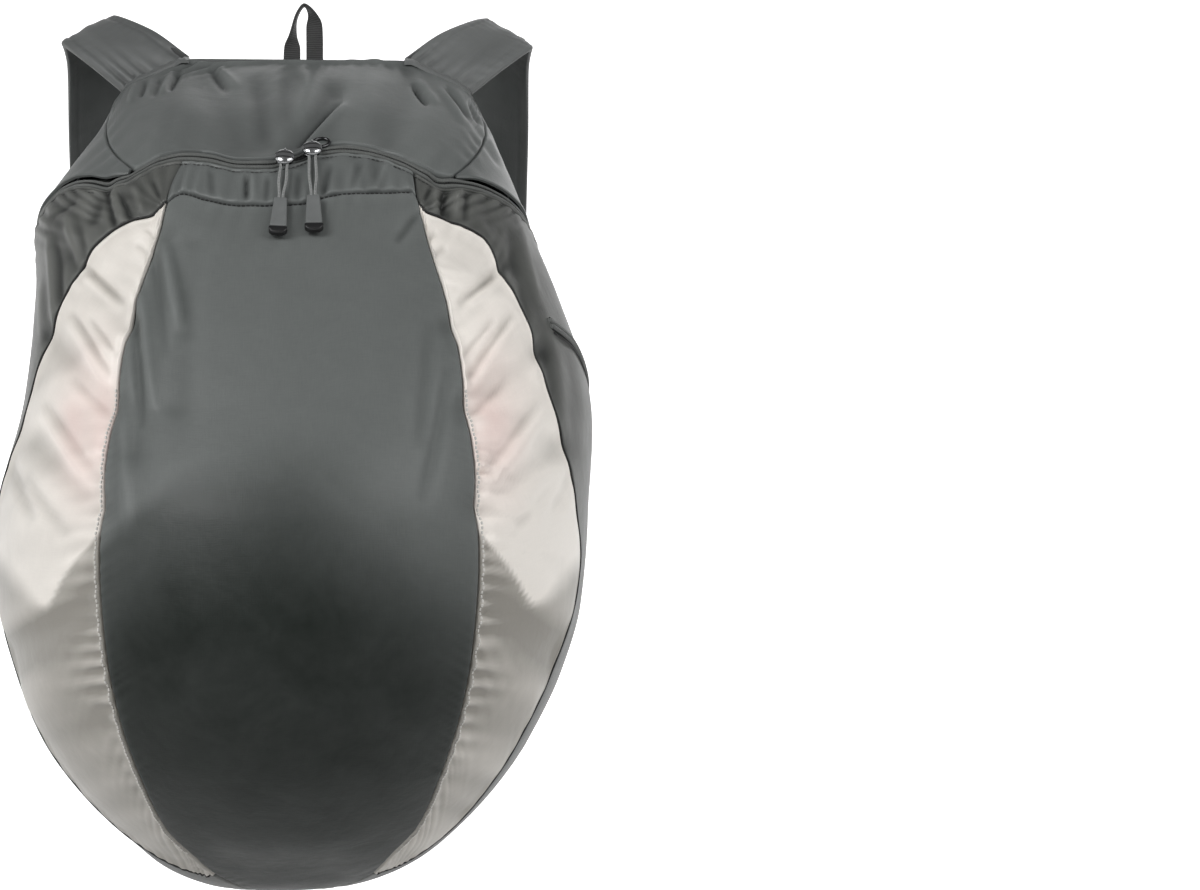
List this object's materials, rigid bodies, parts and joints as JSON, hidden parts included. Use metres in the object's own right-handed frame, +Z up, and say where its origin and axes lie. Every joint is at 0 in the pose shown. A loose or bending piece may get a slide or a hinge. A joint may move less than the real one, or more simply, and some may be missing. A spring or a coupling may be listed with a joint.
{
  "type": "motorcycle helmet bag",
  "caption": "Charcoal nylon backpack for a motorcycle helmet, with light reflective crescents, an arched zip, two corded pulls, shoulder straps and a haul loop.",
  "frame": {"origin": "hang point, under the top of the haul loop", "axes": "+Z up, the front dome faces -Y, the shoulder straps are at +Y, +X is to the right seen from the front"},
  "size_m": [0.3422, 0.3562, 0.5272],
  "materials": {
    "charcoal_nylon": "fine woven, slight sheen",
    "dark_nylon": "matt woven",
    "reflective_fabric": "smooth, pale silver grey",
    "webbing": "ribbed",
    "zip_tape": "ribbed tape",
    "zip_coil": "spiral coil",
    "gunmetal": "dark plated",
    "pull_cord": "braided",
    "grip_plastic": "moulded, darker end",
    "adjuster_plastic": "moulded"
  },
  "bodies": {
    "bag": {"front_panel": "charcoal_nylon", "front_band": "charcoal_nylon", "top_panel": "charcoal_nylon", "back_panel": "dark_nylon", "edge_piping": "dark_nylon", "reflective_panel_left": "reflective_fabric", "reflective_panel_right": "reflective_fabric", "side_panel_left": "charcoal_nylon", "side_panel_right": "charcoal_nylon", "top_gusset_left": "charcoal_nylon", "top_gusset_right": "charcoal_nylon", "zip_coil": "zip_coil", "zip_tape_upper": "zip_tape", "zip_tape_lower": "zip_tape", "side_pocket_zip": "zip_tape", "slider_left": "gunmetal", "slider_right": "gunmetal", "strap_left": "charcoal_nylon", "strap_right": "charcoal_nylon", "strap_webbing_left": "webbing", "strap_webbing_right": "webbing", "strap_adjuster_left": "adjuster_plastic", "strap_adjuster_right": "adjuster_plastic", "haul_loop": "webbing"},
    "pull_left": {"pull_ring_left": "gunmetal", "pull_cord_left": "pull_cord", "pull_grip_left": "grip_plastic"},
    "pull_right": {"pull_ring_right": "gunmetal", "pull_cord_right": "pull_cord", "pull_grip_right": "grip_plastic"}
  },
  "joints": [
    {"name": "left_pull_hinge", "type": "hinge", "parent": "bag", "child": "pull_left", "pos_m": [-0.00868, -0.13233, -0.09956], "axis": [-0.9985, 0.0341, 0.0423], "range_deg": [0, 150]},
    {"name": "right_pull_hinge", "type": "hinge", "parent": "bag", "child": "pull_right", "pos_m": [0.00627, -0.12703, -0.0943], "axis": [-0.9997, -0.0158, -0.0191], "range_deg": [0, 150]}
  ]
}
